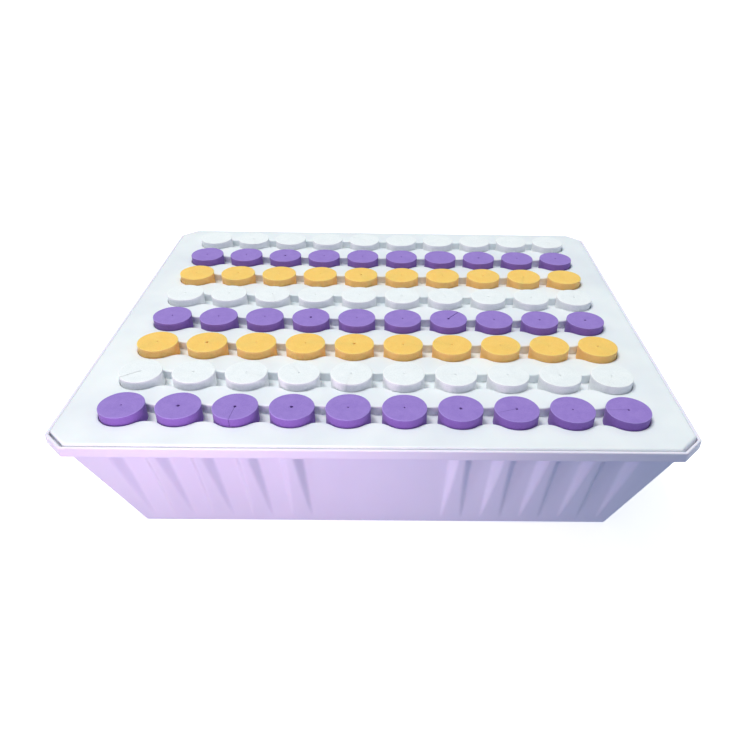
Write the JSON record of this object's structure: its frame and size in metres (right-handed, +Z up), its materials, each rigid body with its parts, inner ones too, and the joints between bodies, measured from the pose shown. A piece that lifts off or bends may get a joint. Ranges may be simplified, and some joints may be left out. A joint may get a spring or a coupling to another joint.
{
  "type": "foam plug storage box",
  "caption": "Tapered fluted plastic tub with a drop-in white deck whose channelled pockets hold rows of round split foam plugs that lift out.",
  "frame": {"origin": "middle of the tub base, on the table", "axes": "+X along a row of ten plugs, +Z up, the front wall faces -Y"},
  "size_m": [0.417, 0.365, 0.1057],
  "materials": {
    "tub_plastic": "injection moulded polypropylene, satin, very pale lilac white",
    "deck_plastic": "moulded polystyrene, soft gloss, cool white",
    "foam_purple": "die-cut closed-cell foam, purple",
    "foam_white": "die-cut closed-cell foam, white",
    "foam_orange": "die-cut closed-cell foam, light orange"
  },
  "bodies": {
    "tub": {"tub": "tub_plastic"},
    "deck": {"deck": "deck_plastic"},
    "plug_row1_col01": {"plug_row1_col01": "foam_purple"},
    "plug_row1_col02": {"plug_row1_col02": "foam_purple"},
    "plug_row1_col03": {"plug_row1_col03": "foam_purple"},
    "plug_row1_col04": {"plug_row1_col04": "foam_purple"},
    "plug_row1_col05": {"plug_row1_col05": "foam_purple"},
    "plug_row1_col06": {"plug_row1_col06": "foam_purple"},
    "plug_row1_col07": {"plug_row1_col07": "foam_purple"},
    "plug_row1_col08": {"plug_row1_col08": "foam_purple"},
    "plug_row1_col09": {"plug_row1_col09": "foam_purple"},
    "plug_row1_col10": {"plug_row1_col10": "foam_purple"},
    "plug_row2_col01": {"plug_row2_col01": "foam_white"},
    "plug_row2_col02": {"plug_row2_col02": "foam_white"},
    "plug_row2_col03": {"plug_row2_col03": "foam_white"},
    "plug_row2_col04": {"plug_row2_col04": "foam_white"},
    "plug_row2_col05": {"plug_row2_col05": "foam_white"},
    "plug_row2_col06": {"plug_row2_col06": "foam_white"},
    "plug_row2_col07": {"plug_row2_col07": "foam_white"},
    "plug_row2_col08": {"plug_row2_col08": "foam_white"},
    "plug_row2_col09": {"plug_row2_col09": "foam_white"},
    "plug_row2_col10": {"plug_row2_col10": "foam_white"},
    "plug_row3_col01": {"plug_row3_col01": "foam_orange"},
    "plug_row3_col02": {"plug_row3_col02": "foam_orange"},
    "plug_row3_col03": {"plug_row3_col03": "foam_orange"},
    "plug_row3_col04": {"plug_row3_col04": "foam_orange"},
    "plug_row3_col05": {"plug_row3_col05": "foam_orange"},
    "plug_row3_col06": {"plug_row3_col06": "foam_orange"},
    "plug_row3_col07": {"plug_row3_col07": "foam_orange"},
    "plug_row3_col08": {"plug_row3_col08": "foam_orange"},
    "plug_row3_col09": {"plug_row3_col09": "foam_orange"},
    "plug_row3_col10": {"plug_row3_col10": "foam_orange"},
    "plug_row4_col01": {"plug_row4_col01": "foam_purple"},
    "plug_row4_col02": {"plug_row4_col02": "foam_purple"},
    "plug_row4_col03": {"plug_row4_col03": "foam_purple"},
    "plug_row4_col04": {"plug_row4_col04": "foam_purple"},
    "plug_row4_col05": {"plug_row4_col05": "foam_purple"},
    "plug_row4_col06": {"plug_row4_col06": "foam_purple"},
    "plug_row4_col07": {"plug_row4_col07": "foam_purple"},
    "plug_row4_col08": {"plug_row4_col08": "foam_purple"},
    "plug_row4_col09": {"plug_row4_col09": "foam_purple"},
    "plug_row4_col10": {"plug_row4_col10": "foam_purple"},
    "plug_row5_col01": {"plug_row5_col01": "foam_white"},
    "plug_row5_col02": {"plug_row5_col02": "foam_white"},
    "plug_row5_col03": {"plug_row5_col03": "foam_white"},
    "plug_row5_col04": {"plug_row5_col04": "foam_white"},
    "plug_row5_col05": {"plug_row5_col05": "foam_white"},
    "plug_row5_col06": {"plug_row5_col06": "foam_white"},
    "plug_row5_col07": {"plug_row5_col07": "foam_white"},
    "plug_row5_col08": {"plug_row5_col08": "foam_white"},
    "plug_row5_col09": {"plug_row5_col09": "foam_white"},
    "plug_row5_col10": {"plug_row5_col10": "foam_white"},
    "plugs_row6": {"plugs_row6": "foam_orange"},
    "plugs_row7": {"plugs_row7": "foam_purple"},
    "plugs_row8": {"plugs_row8": "foam_white"}
  },
  "joints": [
    {"name": "deck_lift", "type": "slide", "parent": "tub", "child": "deck", "axis": [0, 0, 1], "range_m": [0, 0.12]},
    {"name": "lift_row1_col01", "type": "slide", "parent": "deck", "child": "plug_row1_col01", "axis": [0, 0, 1], "range_m": [0, 0.03]},
    {"name": "lift_row1_col02", "type": "slide", "parent": "deck", "child": "plug_row1_col02", "axis": [0, 0, 1], "range_m": [0, 0.03]},
    {"name": "lift_row1_col03", "type": "slide", "parent": "deck", "child": "plug_row1_col03", "axis": [0, 0, 1], "range_m": [0, 0.03]},
    {"name": "lift_row1_col04", "type": "slide", "parent": "deck", "child": "plug_row1_col04", "axis": [0, 0, 1], "range_m": [0, 0.03]},
    {"name": "lift_row1_col05", "type": "slide", "parent": "deck", "child": "plug_row1_col05", "axis": [0, 0, 1], "range_m": [0, 0.03]},
    {"name": "lift_row1_col06", "type": "slide", "parent": "deck", "child": "plug_row1_col06", "axis": [0, 0, 1], "range_m": [0, 0.03]},
    {"name": "lift_row1_col07", "type": "slide", "parent": "deck", "child": "plug_row1_col07", "axis": [0, 0, 1], "range_m": [0, 0.03]},
    {"name": "lift_row1_col08", "type": "slide", "parent": "deck", "child": "plug_row1_col08", "axis": [0, 0, 1], "range_m": [0, 0.03]},
    {"name": "lift_row1_col09", "type": "slide", "parent": "deck", "child": "plug_row1_col09", "axis": [0, 0, 1], "range_m": [0, 0.03]},
    {"name": "lift_row1_col10", "type": "slide", "parent": "deck", "child": "plug_row1_col10", "axis": [0, 0, 1], "range_m": [0, 0.03]},
    {"name": "lift_row2_col01", "type": "slide", "parent": "deck", "child": "plug_row2_col01", "axis": [0, 0, 1], "range_m": [0, 0.03]},
    {"name": "lift_row2_col02", "type": "slide", "parent": "deck", "child": "plug_row2_col02", "axis": [0, 0, 1], "range_m": [0, 0.03]},
    {"name": "lift_row2_col03", "type": "slide", "parent": "deck", "child": "plug_row2_col03", "axis": [0, 0, 1], "range_m": [0, 0.03]},
    {"name": "lift_row2_col04", "type": "slide", "parent": "deck", "child": "plug_row2_col04", "axis": [0, 0, 1], "range_m": [0, 0.03]},
    {"name": "lift_row2_col05", "type": "slide", "parent": "deck", "child": "plug_row2_col05", "axis": [0, 0, 1], "range_m": [0, 0.03]},
    {"name": "lift_row2_col06", "type": "slide", "parent": "deck", "child": "plug_row2_col06", "axis": [0, 0, 1], "range_m": [0, 0.03]},
    {"name": "lift_row2_col07", "type": "slide", "parent": "deck", "child": "plug_row2_col07", "axis": [0, 0, 1], "range_m": [0, 0.03]},
    {"name": "lift_row2_col08", "type": "slide", "parent": "deck", "child": "plug_row2_col08", "axis": [0, 0, 1], "range_m": [0, 0.03]},
    {"name": "lift_row2_col09", "type": "slide", "parent": "deck", "child": "plug_row2_col09", "axis": [0, 0, 1], "range_m": [0, 0.03]},
    {"name": "lift_row2_col10", "type": "slide", "parent": "deck", "child": "plug_row2_col10", "axis": [0, 0, 1], "range_m": [0, 0.03]},
    {"name": "lift_row3_col01", "type": "slide", "parent": "deck", "child": "plug_row3_col01", "axis": [0, 0, 1], "range_m": [0, 0.03]},
    {"name": "lift_row3_col02", "type": "slide", "parent": "deck", "child": "plug_row3_col02", "axis": [0, 0, 1], "range_m": [0, 0.03]},
    {"name": "lift_row3_col03", "type": "slide", "parent": "deck", "child": "plug_row3_col03", "axis": [0, 0, 1], "range_m": [0, 0.03]},
    {"name": "lift_row3_col04", "type": "slide", "parent": "deck", "child": "plug_row3_col04", "axis": [0, 0, 1], "range_m": [0, 0.03]},
    {"name": "lift_row3_col05", "type": "slide", "parent": "deck", "child": "plug_row3_col05", "axis": [0, 0, 1], "range_m": [0, 0.03]},
    {"name": "lift_row3_col06", "type": "slide", "parent": "deck", "child": "plug_row3_col06", "axis": [0, 0, 1], "range_m": [0, 0.03]},
    {"name": "lift_row3_col07", "type": "slide", "parent": "deck", "child": "plug_row3_col07", "axis": [0, 0, 1], "range_m": [0, 0.03]},
    {"name": "lift_row3_col08", "type": "slide", "parent": "deck", "child": "plug_row3_col08", "axis": [0, 0, 1], "range_m": [0, 0.03]},
    {"name": "lift_row3_col09", "type": "slide", "parent": "deck", "child": "plug_row3_col09", "axis": [0, 0, 1], "range_m": [0, 0.03]},
    {"name": "lift_row3_col10", "type": "slide", "parent": "deck", "child": "plug_row3_col10", "axis": [0, 0, 1], "range_m": [0, 0.03]},
    {"name": "lift_row4_col01", "type": "slide", "parent": "deck", "child": "plug_row4_col01", "axis": [0, 0, 1], "range_m": [0, 0.03]},
    {"name": "lift_row4_col02", "type": "slide", "parent": "deck", "child": "plug_row4_col02", "axis": [0, 0, 1], "range_m": [0, 0.03]},
    {"name": "lift_row4_col03", "type": "slide", "parent": "deck", "child": "plug_row4_col03", "axis": [0, 0, 1], "range_m": [0, 0.03]},
    {"name": "lift_row4_col04", "type": "slide", "parent": "deck", "child": "plug_row4_col04", "axis": [0, 0, 1], "range_m": [0, 0.03]},
    {"name": "lift_row4_col05", "type": "slide", "parent": "deck", "child": "plug_row4_col05", "axis": [0, 0, 1], "range_m": [0, 0.03]},
    {"name": "lift_row4_col06", "type": "slide", "parent": "deck", "child": "plug_row4_col06", "axis": [0, 0, 1], "range_m": [0, 0.03]},
    {"name": "lift_row4_col07", "type": "slide", "parent": "deck", "child": "plug_row4_col07", "axis": [0, 0, 1], "range_m": [0, 0.03]},
    {"name": "lift_row4_col08", "type": "slide", "parent": "deck", "child": "plug_row4_col08", "axis": [0, 0, 1], "range_m": [0, 0.03]},
    {"name": "lift_row4_col09", "type": "slide", "parent": "deck", "child": "plug_row4_col09", "axis": [0, 0, 1], "range_m": [0, 0.03]},
    {"name": "lift_row4_col10", "type": "slide", "parent": "deck", "child": "plug_row4_col10", "axis": [0, 0, 1], "range_m": [0, 0.03]},
    {"name": "lift_row5_col01", "type": "slide", "parent": "deck", "child": "plug_row5_col01", "axis": [0, 0, 1], "range_m": [0, 0.03]},
    {"name": "lift_row5_col02", "type": "slide", "parent": "deck", "child": "plug_row5_col02", "axis": [0, 0, 1], "range_m": [0, 0.03]},
    {"name": "lift_row5_col03", "type": "slide", "parent": "deck", "child": "plug_row5_col03", "axis": [0, 0, 1], "range_m": [0, 0.03]},
    {"name": "lift_row5_col04", "type": "slide", "parent": "deck", "child": "plug_row5_col04", "axis": [0, 0, 1], "range_m": [0, 0.03]},
    {"name": "lift_row5_col05", "type": "slide", "parent": "deck", "child": "plug_row5_col05", "axis": [0, 0, 1], "range_m": [0, 0.03]},
    {"name": "lift_row5_col06", "type": "slide", "parent": "deck", "child": "plug_row5_col06", "axis": [0, 0, 1], "range_m": [0, 0.03]},
    {"name": "lift_row5_col07", "type": "slide", "parent": "deck", "child": "plug_row5_col07", "axis": [0, 0, 1], "range_m": [0, 0.03]},
    {"name": "lift_row5_col08", "type": "slide", "parent": "deck", "child": "plug_row5_col08", "axis": [0, 0, 1], "range_m": [0, 0.03]},
    {"name": "lift_row5_col09", "type": "slide", "parent": "deck", "child": "plug_row5_col09", "axis": [0, 0, 1], "range_m": [0, 0.03]},
    {"name": "lift_row5_col10", "type": "slide", "parent": "deck", "child": "plug_row5_col10", "axis": [0, 0, 1], "range_m": [0, 0.03]},
    {"name": "lifts_row6", "type": "slide", "parent": "deck", "child": "plugs_row6", "axis": [0, 0, 1], "range_m": [0, 0.03]},
    {"name": "lifts_row7", "type": "slide", "parent": "deck", "child": "plugs_row7", "axis": [0, 0, 1], "range_m": [0, 0.03]},
    {"name": "lifts_row8", "type": "slide", "parent": "deck", "child": "plugs_row8", "axis": [0, 0, 1], "range_m": [0, 0.03]}
  ]
}
